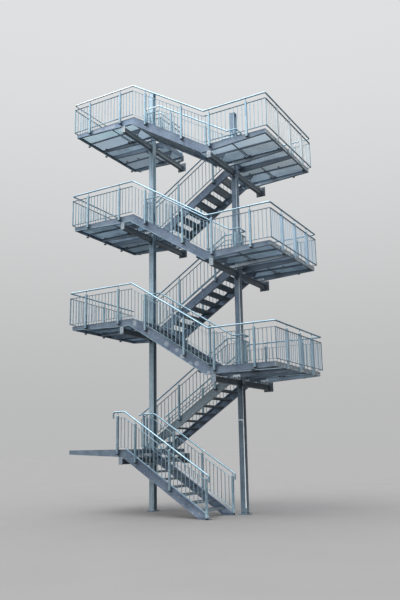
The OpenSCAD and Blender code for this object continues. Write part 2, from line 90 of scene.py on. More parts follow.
# ------------------------------------------------------------------ mesh code
class Build:
    """collects vertices and faces of many small shapes for one piece"""

    def __init__(self):
        self.v, self.f, self.n = [], [], 0

    def add(self, verts, faces):
        self.v.append(np.asarray(verts, float))
        self.f.extend([tuple(i + self.n for i in f) for f in faces])
        self.n += len(verts)

    def box(self, x0, x1, y0, y1, z0, z1):
        x0, x1 = min(x0, x1), max(x0, x1)
        y0, y1 = min(y0, y1), max(y0, y1)
        z0, z1 = min(z0, z1), max(z0, z1)
        self.add(
            [(x0, y0, z0), (x1, y0, z0), (x1, y1, z0), (x0, y1, z0), (x0, y0, z1), (x1, y0, z1), (x1, y1, z1), (x0, y1, z1)],
            [(0, 3, 2, 1), (4, 5, 6, 7), (0, 1, 5, 4), (1, 2, 6, 5), (2, 3, 7, 6), (3, 0, 4, 7)],
        )

    def soft_box(self, x0, x1, y0, y1, z0, z1, c=0.002):
        """box with chamfered edges along all three axes"""
        lo = np.array([min(x0, x1), min(y0, y1), min(z0, z1)])
        hi = np.array([max(x0, x1), max(y0, y1), max(z0, z1)])
        c = min(c, *((hi - lo) / 2.01))
        verts, index = [], {}
        for sx in (0, 1):
            for sy in (0, 1):
                for sz in (0, 1):
                    s = (sx, sy, sz)
                    p = np.where(np.array(s) == 1, hi, lo)
                    d = np.where(np.array(s) == 1, -c, c)
                    for a in range(3):
                        q = p + d
                        q[a] = p[a]
                        index[(s, a)] = len(verts)
                        verts.append(q)
        faces = []
        for a in range(3):
            b, e = (a + 1) % 3, (a + 2) % 3
            for side in (0, 1):
                loop = []
                for t, u in ((0, 0), (1, 0), (1, 1), (0, 1)):
                    s = [0, 0, 0]
                    s[a], s[b], s[e] = side, t, u
                    loop.append(index[(tuple(s), a)])
                faces.append(tuple(loop if side else reversed(loop)))
        for a in range(3):
            b, e = (a + 1) % 3, (a + 2) % 3
            for t in (0, 1):
                for u in (0, 1):
                    s0, s1 = [0, 0, 0], [0, 0, 0]
                    s0[b], s0[e], s1[b], s1[e] = t, u, t, u
                    s0[a], s1[a] = 0, 1
                    quad = [index[(tuple(s0), b)], index[(tuple(s1), b)], index[(tuple(s1), e)], index[(tuple(s0), e)]]
                    faces.append(tuple(quad if (t == u) else reversed(quad)))
        for sx in (0, 1):
            for sy in (0, 1):
                for sz in (0, 1):
                    s = (sx, sy, sz)
                    tri = [index[(s, 0)], index[(s, 1)], index[(s, 2)]]
                    faces.append(tuple(tri if (sx + sy + sz) % 2 == 1 else reversed(tri)))
        self.add(verts, faces)

    def prism_y(self, pts, y0, y1):
        """outline of (x, z) points, anticlockwise seen from -Y, between y0 and y1"""
        y0, y1 = min(y0, y1), max(y0, y1)
        n = len(pts)
        area = sum(pts[i][0] * pts[(i + 1) % n][1] - pts[(i + 1) % n][0] * pts[i][1] for i in range(n))
        if area < 0:
            pts = pts[::-1]
        verts = [(x, y0, z) for x, z in pts] + [(x, y1, z) for x, z in pts]
        faces = [tuple(range(n)), tuple(reversed(range(n, 2 * n)))]
        faces += [((i + 1) % n, i, n + i, n + (i + 1) % n) for i in range(n)]
        self.add(verts, faces)

    def ring(self, centre, axis, radii, heights, n, turn=0.0):
        """turned shape: rings of the given radii at heights along the axis, capped"""
        axis = Vector(axis).normalized()
        side = axis.orthogonal().normalized()
        up = axis.cross(side)
        c = Vector(centre)
        verts, faces = [], []
        for r, h in zip(radii, heights):
            for k in range(n):
                t = turn + 2 * math.pi * k / n
                verts.append(tuple(c + axis * h + (side * math.cos(t) + up * math.sin(t)) * r))
        m = len(radii)
        for j in range(m - 1):
            for k in range(n):
                a, b = j * n + k, j * n + (k + 1) % n
                faces.append((a, b, b + n, a + n))
        faces.append(tuple(reversed(range(n))))
        faces.append(tuple(range((m - 1) * n, m * n)))
        self.add(verts, faces)

    def bolt(self, centre, axis, d, stud=0.0):
        """hexagon head on a washer; centre on the face, axis away from it; a stud end if asked"""
        self.ring(centre, axis, [d * 1.12, d * 1.12, d * 1.0], [0, d * 0.14, d * 0.18], 14)
        turn = rnd.random()
        self.ring(centre, axis, [d * 0.86, d * 0.86, d * 0.72], [d * 0.16, d * 0.68, d * 0.80], 6, turn)
        if stud:
            self.ring(centre, axis, [d * 0.46, d * 0.46, d * 0.38], [d * 0.6, d * 0.8 + stud - 0.002, d * 0.8 + stud], 10)

    def make(self, name, material, slot, replaces=()):
        mesh = bpy.data.meshes.new(name)
        co = np.concatenate(self.v)
        mesh.from_pydata(co.tolist(), [], self.f)
        mesh.validate()
        mesh.update()
        ob = bpy.data.objects.new(name, mesh)
        bpy.context.scene.collection.objects.link(ob)
        ob.data.materials.append(material)
        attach(ob, "root")
        if replaces:
            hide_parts(*replaces)
        return ob


# ------------------------------------------------------------------ materials
class Nodes:
    def __init__(self, name):
        self.m = bpy.data.materials.new(name)
        self.m.use_nodes = True
        self.t = self.m.node_tree
        self.t.nodes.clear()
        self.out = self.t.nodes.new("ShaderNodeOutputMaterial")
        self.coord = self.t.nodes.new("ShaderNodeTexCoord").outputs["Object"]

    def put(self, socket, value):
        if isinstance(value, bpy.types.NodeSocket):
            self.t.links.new(value, socket)
        elif value is not None:
            socket.default_value = value

    def scaled(self, sx, sy, sz, shift=(0, 0, 0)):
        n = self.t.nodes.new("ShaderNodeMapping")
        self.put(n.inputs["Vector"], self.coord)
        n.inputs["Scale"].default_value = (sx, sy, sz)
        n.inputs["Location"].default_value = shift
        return n.outputs["Vector"]

    def noise(self, vector, scale, detail=3.0, rough=0.55):
        n = self.t.nodes.new("ShaderNodeTexNoise")
        self.put(n.inputs["Vector"], vector)
        n.inputs["Scale"].default_value = scale
        n.inputs["Detail"].default_value = detail
        n.inputs["Roughness"].default_value = rough
        return n.outputs["Fac"]

    def cells(self, vector, scale, feature="F1"):
        n = self.t.nodes.new("ShaderNodeTexVoronoi")
        n.feature = feature
        self.put(n.inputs["Vector"], vector)
        n.inputs["Scale"].default_value = scale
        return n

    def grey(self, colour):
        n = self.t.nodes.new("ShaderNodeSeparateColor")
        self.put(n.inputs[0], colour)
        return n.outputs[0]

    def math(self, op, a, b=None, c=None, clamp=False):
        n = self.t.nodes.new("ShaderNodeMath")
        n.operation = op
        n.use_clamp = clamp
        self.put(n.inputs[0], a)
        self.put(n.inputs[1], b)
        self.put(n.inputs[2], c)
        return n.outputs[0]

    def spread(self, value, a, b, lo=0.0, hi=1.0):
        n = self.t.nodes.new("ShaderNodeMapRange")
        n.interpolation_type = "SMOOTHSTEP"
        self.put(n.inputs[0], value)
        for k, x in zip((1, 2, 3, 4), (a, b, lo, hi)):
            n.inputs[k].default_value = x
        return n.outputs[0]

    def ramp(self, value, stops):
        n = self.t.nodes.new("ShaderNodeValToRGB")
        self.put(n.inputs[0], value)
        e = n.color_ramp.elements
        while len(e) < len(stops):
            e.new(0.5)
        for k, (p, c) in enumerate(stops):
            e[k].position = p
            e[k].color = (*c, 1)
        return n.outputs[0]

    def mix(self, f, a, b, kind="MIX"):
        n = self.t.nodes.new("ShaderNodeMix")
        n.data_type = "RGBA"
        n.blend_type = kind
        self.put(n.inputs[0], f)
        self.put(n.inputs[6], a if not isinstance(a, tuple) else (*a, 1))
        self.put(n.inputs[7], b if not isinstance(b, tuple) else (*b, 1))
        return n.outputs[2]

    def axis(self, k):
        n = self.t.nodes.new("ShaderNodeSeparateXYZ")
        self.put(n.inputs[0], self.coord)
        return n.outputs[k]

    def bump(self, height, strength, distance, normal=None):
        n = self.t.nodes.new("ShaderNodeBump")
        n.inputs["Strength"].default_value = strength
        n.inputs["Distance"].default_value = distance
        self.put(n.inputs["Height"], height)
        if normal is not None:
            self.put(n.inputs["Normal"], normal)
        return n.outputs[0]

    def finish(self, colour, rough, metal, normal=None, spec=0.5):
        b = self.t.nodes.new("ShaderNodeBsdfPrincipled")
        self.put(b.inputs["Base Color"], colour)
        self.put(b.inputs["Roughness"], rough)
        self.put(b.inputs["Metallic"], metal)
        self.put(b.inputs["Specular IOR Level"], spec)
        if normal is not None:
            self.put(b.inputs["Normal"], normal)
        self.put(self.out.inputs["Surface"], b.outputs[0])
        return self.m


# how bright the studio light is; colours are written for a light of 1
LAMP = 1.6


def lit(colour):
    return tuple(min(0.97, x / LAMP) for x in colour)


def window(n, k, lo, hi, soft=0.004):
    """1 where coordinate k lies between lo and hi"""
    c = n.axis(k)
    return n.math("MULTIPLY", n.spread(c, lo - soft, lo + soft), n.spread(c, hi - soft, hi + soft, 1.0, 0.0))


def patch(n, box):
    """1 inside a box ((x0, x1), (y0, y1), (z0, z1)), with slightly soft edges"""
    f = None
    for k, (lo, hi) in enumerate(box):
        w = window(n, k, lo, hi)
        f = w if f is None else n.math("MULTIPLY", f, w)
    return f


def zinc(name, dark, light, cell=30.0, spangle=0.5, patchy=0.5, streak=0.0, rough=(0.38, 0.58), metal=0.35,
         patches=(), spots=(), new_zinc_and_painted_light=(), web_light_and_shade=(), bump=0.25):
    """hot-dip galvanised steel: crystal cells, cloudy weathering and runs.
    dark and light are the ends of the colour range, cell the crystals a metre"""
    n = Nodes(name)
    warp = n.noise(n.coord, 9.0, 2.0)
    v = n.t.nodes.new("ShaderNodeVectorMath")
    v.operation = "MULTIPLY_ADD"
    n.put(v.inputs[0], n.coord)
    v.inputs[1].default_value = (1, 1, 1)
    off = n.t.nodes.new("ShaderNodeCombineXYZ")
    for k in range(3):
        n.put(off.inputs[k], n.math("MULTIPLY", warp, 0.012))
    n.put(v.inputs[2], off.outputs[0])
    big = n.cells(v.outputs[0], cell)
    small = n.cells(v.outputs[0], cell * 2.7)
    s1 = n.grey(big.outputs["Color"])
    s2 = n.grey(small.outputs["Color"])
    crystal = n.math("ADD", n.math("MULTIPLY", s1, 0.65), n.math("MULTIPLY", s2, 0.35))
    cloud = n.spread(n.noise(n.coord, 2.1, 4.0, 0.6), 0.32, 0.68)
    fine = n.noise(n.coord, 38.0, 3.0, 0.6)
    runs = n.spread(n.noise(n.scaled(14.0, 14.0, 0.55), 1.0, 4.0, 0.6), 0.3, 0.7)
    total = n.math("MULTIPLY", n.math("SUBTRACT", crystal, 0.5), spangle)
    total = n.math("MULTIPLY_ADD", n.math("SUBTRACT", cloud, 0.5), patchy, total)
    total = n.math("MULTIPLY_ADD", n.math("SUBTRACT", fine, 0.5), 0.35, total)
    if streak:
        total = n.math("MULTIPLY_ADD", n.math("SUBTRACT", runs, 0.5), streak, total)
    total = n.math("ADD", total, 0.5, clamp=True)
    dark, light = lit(dark), lit(light)
    mid = tuple((a + b) / 2 for a, b in zip(dark, light))
    colour = n.ramp(total, [(0.0, dark), (0.45, mid), (1.0, light)])
    # tinted boxes of a part; most of them are painted light and shade
    for box, tint, amount in patches + web_light_and_shade:
        ragged = n.spread(n.noise(n.coord, 60.0, 3.0), 0.3, 0.55)
        f = n.math("MULTIPLY", n.math("MULTIPLY", patch(n, box), amount), n.math("MULTIPLY_ADD", ragged, 0.25, 0.75))
        colour = n.mix(f, colour, lit(tint))
    for x, z, radius, amount in spots:
        # round touched-up places on a face along X
        d = n.math("POWER", n.math("SUBTRACT", n.axis(0), x), 2.0)
        d = n.math("ADD", d, n.math("POWER", n.math("SUBTRACT", n.axis(2), z), 2.0))
        d = n.math("MULTIPLY_ADD", n.noise(n.coord, 14.0, 2.0), 0.05, n.math("SQRT", d))
        colour = n.mix(n.math("MULTIPLY", n.spread(d, radius + 0.018, radius + 0.032, 1.0, 0.0), amount), colour, lit(c255(226, 238, 246)))
    for box in new_zinc_and_painted_light:
        # newer zinc with coarse bright crystals, lightened further as painted light
        colour = n.mix(n.math("MULTIPLY", patch(n, box), 0.95), colour, n.ramp(crystal, [(0.12, light), (0.45, lit((0.96, 1.07, 1.15))), (0.75, lit((1.45, 1.55, 1.60)))]))
    r = n.math("MULTIPLY_ADD", crystal, rough[1] - rough[0], rough[0])
    h = n.math("MULTIPLY_ADD", crystal, 0.35, n.math("MULTIPLY", fine, 0.65))
    return n.finish(colour, r, metal, n.bump(h, bump, 0.004))


def c255(r, g, b, k=1.0):
    """a colour given in display values, as scene linear"""
    def lin(x):
        x = min(1.0, x * k / 255)
        return x / 12.92 if x <= 0.04045 else ((x + 0.055) / 1.055) ** 2.4
    return (lin(r), lin(g), lin(b))


M = {}
# painted shade and light on the right column: the whole column is darkened below z 3.2 as painted shade under the
# lowest half landing, and the recess between the web and the +X flange is lightened as painted light, more the higher
# it lies
M["column"] = zinc("galvanised_column", (0.181, 0.254, 0.342), (0.413, 0.515, 0.631), cell=26, spangle=0.45, patchy=0.5, streak=0.5, metal=0.5, patches=(
    (((-0.078, 0.078), (-0.078, 0.078), (0.0, 3.2)), c255(81, 103, 111), 0.60),
    (((-0.004, 0.0745), (-0.066, 0.076), (3.2, 6.4)), (0.92, 0.99, 1.05), 0.85),
    (((-0.004, 0.0745), (-0.066, 0.076), (6.4, 12.0)), (1.15, 1.30, 1.48), 0.85),
    (((-0.004, 0.0745), (-0.066, 0.076), (0.0, 3.2)), (0.75, 0.80, 0.84), 0.45),
))
# left column: the whole column darker below z 5.2; its half towards +X darkened as painted shade up to z 8.4 and
# lightened as painted light above z 8.4; a pale strip at z 3.6 and a pale band at z 10.14 to 10.52 on that side
M["column_left"] = zinc("galvanised_column_left", (0.53, 0.72, 0.84), (0.90, 1.10, 1.24), cell=18, spangle=0.55, patchy=0.6, streak=0.5, metal=0.45, patches=(
    (((-2.820, -2.655), (-0.078, 0.078), (0.0, 5.2)), (0.48, 0.62, 0.66), 0.50),
    (((-2.736, -2.655), (-0.066, 0.066), (0.0, 5.2)), c255(84, 94, 104), 0.5),
    (((-2.736, -2.655), (-0.066, 0.066), (5.2, 8.4)), c255(84, 94, 104), 0.25),
    (((-2.736, -2.655), (-0.066, 0.066), (0.0, 5.2)), c255(84, 94, 104), 0.4),
    (((-2.736, -2.655), (-0.066, 0.066), (8.4, 11.0)), (1.40, 1.55, 1.60), 0.85),
    (((-2.736, -2.730), (-0.050, 0.008), (3.585, 3.690)), c255(200, 212, 220), 0.9),
    (((-2.736, -2.655), (-0.066, 0.066), (10.14, 10.52)), (1.50, 1.46, 1.44), 0.95),
))
# painted light: the beams' webs are painted lighter than their lower flanges to offset the shade in their recess, most
# of all at the top
M["beam"] = zinc("galvanised_beam", c255(110, 120, 130), c255(156, 168, 178), cell=22, spangle=0.3, patchy=0.5, streak=0.2, metal=0.35, patches=(
    (((XCL - 0.046, XCL + 0.051), (-1.44, 1.67), (10.350, 10.490)), (0.95, 1.04, 1.10), 0.95),
    (((-0.046, 0.051), (-1.44, 1.67), (8.910, 9.050)), (0.85, 0.94, 1.00), 0.95),
    (((XCL - 0.046, XCL + 0.051), (-1.44, 1.67), (7.470, 7.610)), (0.58, 0.65, 0.71), 0.90),
    (((-0.046, 0.051), (-1.44, 1.67), (6.030, 6.170)), (0.50, 0.56, 0.62), 0.90),
))
# painted light and shade on the channels: the bearer webs at y -0.845 and 0.850 are darkened as painted shade, the well
# and back channel webs are painted lighter or darker level by level as painted light and shade, and the +X end faces
# are brightened as painted light on top of newer zinc
M["frame"] = zinc("galvanised_channel", c255(124, 140, 160), c255(180, 198, 216), cell=20, spangle=0.4, patchy=0.6, metal=0.6, patches=(
    (((-4.430, -2.372), (-1.45, -1.44), (10.52, 10.70)), (0.48, 0.62, 0.82), 0.75),
    (((-3.820, -3.510), (-1.45, -1.44), (10.586, 10.692)), c255(226, 236, 246), 0.75),
    (((-3.398, -3.036), (-1.45, -1.44), (10.577, 10.668)), c255(226, 236, 246), 0.75),
), new_zinc_and_painted_light=(((1.606, 1.614), (-1.46, 1.46), (3.0, 9.5)),), web_light_and_shade=(
    (((-4.43, 1.61), (-0.8500, -0.8400), (3.0, 11.0)), c255(44, 52, 60), 0.85),
    (((-4.43, 1.61), (0.8450, 0.8550), (3.0, 11.0)), c255(44, 52, 60), 0.85),
    (((0.05, 1.60), (-0.2395, -0.2365), (3.2, 3.6)), (0.36, 0.39, 0.42), 0.9),
    (((0.05, 1.60), (-0.2395, -0.2365), (6.1, 6.5)), (1.50, 1.58, 1.60), 0.95),
    (((0.05, 1.60), (-0.2395, -0.2365), (9.0, 9.5)), c255(230, 240, 244), 0.95),
    (((0.05, 1.60), (1.4380, 1.4420), (3.2, 3.52)), (1.12, 1.36, 1.60), 0.95),
    (((0.05, 1.60), (1.4380, 1.4420), (6.1, 6.50)), (0.46, 0.56, 0.64), 0.90),
    (((0.05, 1.60), (1.4380, 1.4420), (9.0, 9.50)), (0.90, 1.05, 1.18), 0.95),
    (((-4.43, -2.40), (1.4380, 1.4420), (4.5, 11.0)), (0.62, 0.74, 0.84), 0.90),
    (((0.05, 1.60), (0.2480, 0.2520), (9.0, 9.5)), (0.16, 0.19, 0.22), 0.9),
    (((0.05, 1.60), (0.2480, 0.2520), (6.1, 6.5)), (0.22, 0.27, 0.31), 0.8),
    (((-4.43, -2.80), (-0.2395, -0.2365), (1.0, 11.0)), c255(214, 226, 230), 0.8),
))
M["stringer"] = zinc("galvanised_stringer", c255(116, 132, 154), c255(172, 190, 212), cell=20, spangle=0.4, patchy=0.6, metal=0.6, patches=(
    (((-3.40, -0.40), (0.24, 0.31), (1.3, 3.50)), (0.46, 0.55, 0.58), 0.8),
), spots=(
    (-2.330, 4.820, 0.075, 0.8), (-1.873, 4.536, 0.050, 0.35), (-1.337, 4.182, 0.062, 0.6), (-1.033, 3.995, 0.050, 0.6),
    (-0.878, 3.825, 0.060, 0.75), (-0.648, 3.616, 0.060, 0.5), (-0.469, 3.614, 0.060, 0.6), (-0.130, 3.330, 0.070, 0.8),
))
# painted light and shade on the gratings: rows lightened or darkened row by row and level by level for the light that
# reaches their bars
M["grating"] = zinc("galvanised_grating", (0.54, 0.68, 0.78), (0.98, 1.14, 1.26), cell=40, spangle=0.5, patchy=0.7, streak=0.3, metal=0.85, rough=(0.28, 0.42), patches=(
    (((-4.5, -2.4), (-1.46, -0.85), (10.6, 10.8)), (1.30, 1.50, 1.60), 0.95),
    (((-4.5, -2.4), (-0.85, WELL_F), (10.6, 10.8)), (1.15, 1.28, 1.38), 0.95),
    (((-4.5, -2.4), (WELL_B, 1.46), (10.6, 10.8)), (0.76, 0.88, 0.97), 0.9),
    (((-0.5, 1.7), (-1.46, -0.85), (9.2, 9.4)), (1.20, 1.38, 1.50), 0.95),
    (((-0.5, 1.7), (WELL_B, 0.85), (9.2, 9.4)), (0.74, 0.83, 0.86), 0.8),
    (((-4.5, -2.4), (0.24, 1.46), (7.7, 7.9)), (0.55, 0.66, 0.74), 0.7),
    (((-0.5, 1.7), (-0.85, -0.20), (3.4, 3.6)), (1.40, 1.50, 1.55), 0.9),
    (((-0.5, 1.7), (0.85, 1.46), (3.4, 3.6)), (1.40, 1.50, 1.55), 0.9),
))
M["tread"] = zinc("galvanised_tread", c255(124, 136, 146), c255(176, 190, 200), cell=40, spangle=0.5, patchy=0.5, metal=0.7)
# painted shade: the level flats of the railings are darkened below their posts' tone, standing in for their shaded
# undersides
flats = tuple((((1.640, 1.6845), (-1.49, 1.49), (z + h - 0.005, z + h + 0.005)), (0.20, 0.27, 0.33), 0.90) for z in ZM[1:] for h in (0.055, 0.785))
flats += tuple((((x0, x1), (-1.522, -1.476), (z + 0.780, z + 0.790)), (0.28, 0.36, 0.42), 0.60) for z, x0, x1 in [(z, -4.50, -2.40) for z in ZL[1:]] + [(z, 0.00, 1.66) for z in ZM[1:]])
# painted light and shade on the railings: the +X end posts of the half landings lightened as painted light, the L3
# handrails lightened as painted light, the M1 handrails toned down as painted shade
M["rail"] = zinc("galvanised_rail", c255(152, 190, 216), c255(218, 246, 255), cell=34, spangle=0.8, patchy=0.45, rough=(0.28, 0.46), metal=0.7, patches=(
    (((1.630, 1.700), (-1.40, 1.40), (9.10, 10.12)), (0.93, 0.96, 0.95), 0.90),
    (((1.630, 1.700), (-1.40, 1.40), (6.22, 7.24)), (0.84, 1.08, 1.28), 0.90),
    (((1.630, 1.700), (-1.40, 1.40), (3.34, 4.36)), (0.74, 0.94, 1.08), 0.90),
    (((-4.52, -2.37), (-1.53, 1.53), (11.61, 11.68)), (1.20, 1.24, 1.24), 0.90),
    (((0.00, 1.62), (-1.53, 1.53), (4.41, 4.48)), c255(176, 204, 220), 0.50),
) + flats)
M["bolt"] = zinc("zinc_bolt", c255(196, 208, 216), c255(245, 250, 252), cell=90, spangle=0.5, patchy=0.3, rough=(0.3, 0.45), metal=0.5)
M["dark_bolt"] = zinc("black_bolt", c255(34, 36, 40), c255(74, 80, 86), cell=90, spangle=0.5, patchy=0.3, rough=(0.35, 0.5), metal=0.3)
# pale new zinc on the cleats and column splices, made brighter still as painted light
M["cleat"] = zinc("bright_cleat", (1.00, 1.12, 1.20), (1.50, 1.55, 1.55), cell=40, spangle=0.6, patchy=0.4, metal=0.15)
M["end_plate"] = zinc("beam_end_plate", (0.66, 0.74, 0.80), (1.05, 1.12, 1.16), cell=34, spangle=0.6, patchy=0.5, metal=0.3, patches=(
    (((-3.0, 0.2), (-1.5, -1.4), (4.6, 9.0)), (0.52, 0.62, 0.70), 0.7),
    (((-3.0, 0.2), (-1.5, -1.4), (0.0, 4.6)), (0.40, 0.50, 0.58), 0.85),
))
M["bright_cap"] = zinc("bright_cap", c255(190, 206, 216), c255(246, 252, 255), cell=40, spangle=0.6, patchy=0.4, metal=0.4)
M["clip"] = zinc("grating_clip", c255(70, 78, 86), c255(120, 130, 138), cell=60, spangle=0.5, patchy=0.4, metal=0.4)


def rubber():
    n = Nodes("black_end_cap")
    f = n.noise(n.coord, 120.0, 3.0)
    colour = n.ramp(f, [(0.2, (0.006, 0.007, 0.008)), (0.8, (0.019, 0.020, 0.021))])
    return n.finish(colour, n.spread(f, 0.3, 0.7, 0.45, 0.65), 0.0, n.bump(f, 0.2, 0.001))


M["cap"] = rubber()

for name, ob in nodes.items():
    key = ("column_left" if name == "column_left" else "column" if name.startswith("column") else "beam" if name.startswith("beams") else "frame" if name.endswith("_frame")
           else "stringer" if name.endswith("_stringers") else "grating" if name.endswith("_gratings")
           else "tread" if name.endswith("_treads") else "rail")
    ob.data.materials.clear()
    ob.data.materials.append(M[key])


# ------------------------------------------------------------------ gratings
def grating(b, x0, x1, y0, y1, z, along="y", depth=0.030, pitch=0.0343, rod=0.0381):
    """welded bar grating: frame flats, bearing bars and cross rods"""
    x0, x1, y0, y1 = min(x0, x1), max(x0, x1), min(y0, y1), max(y0, y1)
    z0 = z - depth
    t = 0.0045
    for a, c in ((x0, x0 + t), (x1 - t, x1)):
        b.box(a, c, y0, y1, z0, z)
    for a, c in ((y0, y0 + t), (y1 - t, y1)):
        b.box(x0 + t, x1 - t, a, c, z0, z)
    if along == "y":
        n = max(2, round((x1 - x0) / pitch))
        for k in range(1, n):
            x = x0 + (x1 - x0) * k / n
            b.box(x - 0.0015, x + 0.0015, y0 + t, y1 - t, z0, z - 0.0005)
        m = max(2, round((y1 - y0) / rod))
        for k in range(1, m):
            y = y0 + (y1 - y0) * k / m
            b.box(x0 + t, x1 - t, y - 0.0025, y + 0.0025, z - 0.0065, z - 0.0015)
    else:
        n = max(2, round((y1 - y0) / pitch))
        for k in range(1, n):
            y = y0 + (y1 - y0) * k / n
            b.box(x0 + t, x1 - t, y - 0.0015, y + 0.0015, z0, z - 0.0005)
        m = max(2, round((x1 - x0) / rod))
        for k in range(1, m):
            x = x0 + (x1 - x0) * k / m
            b.box(x - 0.0025, x + 0.0025, y0 + t, y1 - t, z - 0.0065, z - 0.0015)


def panels(b, z, end, xb, eo, ei, seam):
    s = 1 if eo > end else -1
    e = end + s * 0.010
    for a, c, y0, y1 in ((e, seam - 0.003 * s, FRONT + 0.010, WELL_F - 0.010), (seam + 0.003 * s, eo - s * 0.010, FRONT + 0.010, WELL_F - 0.010),
                         (e, seam - 0.003 * s, WELL_B + 0.012, BACK - 0.012), (seam + 0.003 * s, ei - s * 0.010, WELL_B + 0.012, BACK - 0.012),
                         (e, xb - s * 0.120, WELL_F + 0.002, WELL_B - 0.014)):
        grating(b, a, c, y0, y1, z)


b = Build()
for i in (1, 2, 3):
    panels(b, ZL[i], END_L, XCL, EDGE_L, EDGE_T if i == 3 else EDGE_L, SEAM_L)
    grating(b, -4.350, -3.150, BACK + 0.004, 1.676, ZL[i])
panels(b, ZL[0], END_L, XCL, KT_O0 - 0.040, KB_I0 + 0.040 + GOING_1, SEAM_L)
b.make("grating_door_landings", M["grating"], "grating_steel", ["door_landing_gratings"])

b = Build()
for i in (1, 2, 3):
    panels(b, ZM[i], END_R, 0.0, EDGE_R, EDGE_R, SEAM_R)
b.make("grating_half_landings", M["grating"], "grating_steel", ["half_landing_gratings"])

# flats under the seams of the gratings, and the clips that hold the gratings down
b, nuts = Build(), Build()
for levels, seam, s, clips in (
        (ZM[1:], SEAM_R, 1, ((0.470, -0.290), (0.640, -0.290), (1.455, -0.290), (0.090, 0.790), (0.980, 0.790), (0.480, 1.360), (0.632, 1.360), (1.480, 1.360))),
        (ZL, SEAM_L, -1, ((-3.395, -0.290), (-3.246, -0.290), (-4.240, -0.290), (-3.815, 0.790), (-4.250, 0.790), (-3.402, 1.360), (-3.250, 1.360)))):
    for level in levels:
        z = level - GRATE
        for y0, y1, offsets, w in ((FRONT + 0.044, -0.852, (0.0,), 0.019), (-0.838, WELL_F - 0.046, (-0.028, 0.028), 0.011),
                                   (WELL_B + 0.044, 0.842, (0.0,), 0.019), (0.858, BACK - 0.044, (-0.028, 0.028), 0.011)):
            for dx in offsets:
                b.soft_box(seam + dx - w, seam + dx + w, y0, y1, z - 0.008, z - 0.001, 0.0015)
        for x, y in clips:
            b.soft_box(x - 0.022, x + 0.022, y - 0.045, y + 0.035, z - 0.016, z - 0.001, 0.003)
            b.soft_box(x - 0.015, x + 0.015, y - 0.030, y + 0.020, z - 0.030, z - 0.015, 0.003)
            nuts.bolt((x, y - 0.005, z - 0.030), (0, 0, -1), 0.009, 0.006)
b.make("grating_clips", M["clip"], "grating_steel")
nuts.make("grating_clip_bolts", M["bolt"], "grating_steel")


# ------------------------------------------------------------------ treads
def treads(node, n, x0, z0, s, g, r, ya, yb):
    b = Build()
    d = g + 0.004
    for i in range(1, n + 1):
        xn, z = x0 + s * i * g, z0 - i * r
        xr = xn - s * d
        grating(b, xn - s * 0.006, xr, ya + 0.007, yb - 0.007, z, pitch=0.0381, rod=0.0343)
        # nosing: folded strip; its round holes, which read as a knurled edge, are not drawn
        b.box(xn - s * 0.003, xn, ya + 0.006, yb - 0.006, z - 0.040, z + 0.0)
        b.box(xn - s * 0.034, xn - s * 0.003, ya + 0.006, yb - 0.006, z - 0.003, z)
        b.box(xn - s * 0.012, xn - s * 0.003, ya + 0.006, yb - 0.006, z - 0.040, z - 0.037)
        for y in (ya + 0.002, yb - 0.007):
            b.prism_y([(xn - s * 0.002, z - 0.002), (xn - s * 0.002, z - 0.045), (xn - s * 0.060, z - 0.070),
                       (xn - s * (d - 0.070), z - 0.070), (xn - s * (d - 0.004), z - 0.030), (xn - s * (d - 0.004), z - 0.002)],
                      y, y + 0.005)
    return b.make(node.replace("_treads", "_tread_gratings"), M["tread"], "tread_steel", [node])


for i in (1, 2, 3):
    treads("outer_flight_%d_treads" % i, 7, EDGE_L, ZL[i], 1, GOING, RISER, FRONT + 0.008, WELL_F - 0.008)
for i in (2, 3):
    treads("inner_flight_%d_treads" % i, 7, EDGE_R, ZM[i], -1, GOING, RISER, WELL_B + 0.008, BACK - 0.008)
treads("inner_flight_1_treads", 9, EDGE_R, ZM[1], -1, GOING_1, RISER_1, WELL_B + 0.008, BACK - 0.008)
treads("outer_flight_0_treads", 8, KT_O0 - 0.040, ZL[0], 1, GOING_0, RISER_0, FRONT + 0.008, WELL_F - 0.008)

# ------------------------------------------------------------------ bolts of the treads
b = Build()


def tread_bolts(n, x0, z0, s, g, r, ya, yb):
    for i in range(1, n + 1):
        xn, z = x0 + s * i * g, z0 - i * r
        for dx in (0.035, 0.215):
            x = xn - s * dx
            b.bolt((x, ya, z - 0.048), (0, -1, 0), 0.011)
            b.bolt((x, yb, z - 0.048), (0, 1, 0), 0.011)
            b.bolt((x, ya + 0.015, z - 0.048), (0, 1, 0), 0.009, 0.004)
            b.bolt((x, yb - 0.015, z - 0.048), (0, -1, 0), 0.009, 0.004)


for i in (1, 2, 3):
    tread_bolts(7, EDGE_L, ZL[i], 1, GOING, RISER, FRONT, WELL_F)
for i in (2, 3):
    tread_bolts(7, EDGE_R, ZM[i], -1, GOING, RISER, WELL_B, BACK)
tread_bolts(9, EDGE_R, ZM[1], -1, GOING_1, RISER_1, WELL_B, BACK)
tread_bolts(8, KT_O0 - 0.040, ZL[0], 1, GOING_0, RISER_0, FRONT, WELL_F)
b.make("tread_bolts", M["bolt"], "tread_steel")

# ------------------------------------------------------------------ posts: caps, cones, bolts
caps, bright_caps, cones, bolts = Build(), Build(), Build(), Build()


